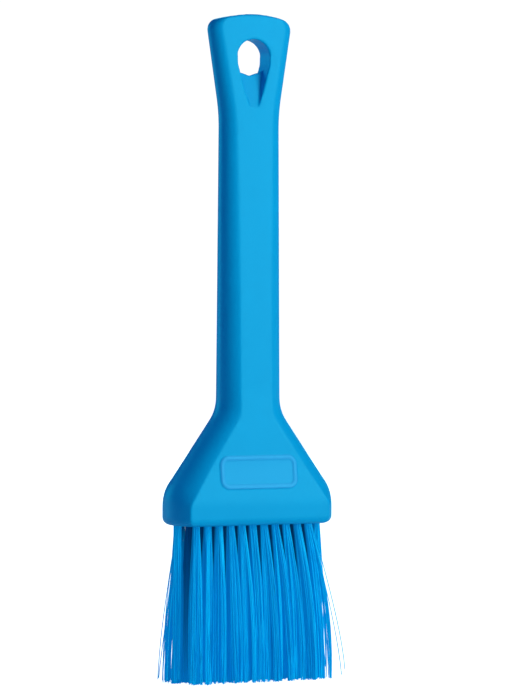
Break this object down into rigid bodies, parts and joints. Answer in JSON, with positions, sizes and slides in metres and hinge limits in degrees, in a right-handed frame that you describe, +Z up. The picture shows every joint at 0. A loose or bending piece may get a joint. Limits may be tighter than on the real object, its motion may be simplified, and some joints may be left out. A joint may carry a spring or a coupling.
{
  "type": "pastry brush",
  "caption": "Flat hygiene pastry brush: slim moulded handle flaring into a wide block, teardrop hanging hole in its head, rows of staple-set filament tufts.",
  "frame": {"origin": "middle of the bristle tips, on the floor that the brush would stand on", "axes": "+Z up the handle from the bristle tips to the head, +X across the block's width, +Y through its thickness, front face towards -Y"},
  "size_m": [0.0544, 0.02, 0.205],
  "materials": {
    "handle_plastic": "bright blue moulded polypropylene, satin with a faint spark-eroded grain",
    "filament": "blue polyester monofilament, glossy, cut square at the tips",
    "anchor_steel": "drawn stainless flat wire"
  },
  "bodies": {
    "root": {"handle": "handle_plastic", "tuft_front_01": "filament", "tuft_front_02": "filament", "tuft_front_03": "filament", "tuft_front_04": "filament", "tuft_front_05": "filament", "tuft_front_06": "filament", "tuft_front_07": "filament", "tuft_front_08": "filament", "tuft_front_09": "filament", "tuft_front_10": "filament", "tuft_front_11": "filament", "tuft_middle_01": "filament", "tuft_middle_02": "filament", "tuft_middle_03": "filament", "tuft_middle_11": "filament", "tuft_middle_12": "filament", "tuft_middle_13": "filament", "tuft_back_01": "filament", "tuft_back_02": "filament", "tuft_back_03": "filament", "tuft_back_04": "filament", "tuft_back_05": "filament", "tuft_back_06": "filament", "tuft_back_07": "filament", "tuft_back_08": "filament", "tuft_back_09": "filament", "tuft_back_10": "filament", "tuft_back_11": "filament", "tuft_back_12": "filament", "anchor_front_01": "anchor_steel", "anchor_front_02": "anchor_steel", "anchor_front_03": "anchor_steel", "anchor_front_04": "anchor_steel", "anchor_front_05": "anchor_steel", "anchor_front_06": "anchor_steel", "anchor_front_07": "anchor_steel", "anchor_front_08": "anchor_steel", "anchor_front_09": "anchor_steel", "anchor_front_10": "anchor_steel", "anchor_front_11": "anchor_steel", "anchor_middle_01": "anchor_steel", "anchor_middle_02": "anchor_steel", "anchor_middle_03": "anchor_steel", "anchor_middle_11": "anchor_steel", "anchor_middle_12": "anchor_steel", "anchor_middle_13": "anchor_steel", "anchor_back_01": "anchor_steel", "anchor_back_02": "anchor_steel", "anchor_back_03": "anchor_steel", "anchor_back_04": "anchor_steel", "anchor_back_05": "anchor_steel", "anchor_back_06": "anchor_steel", "anchor_back_07": "anchor_steel", "anchor_back_08": "anchor_steel", "anchor_back_09": "anchor_steel", "anchor_back_10": "anchor_steel", "anchor_back_11": "anchor_steel", "anchor_back_12": "anchor_steel"}
  },
  "joints": []
}
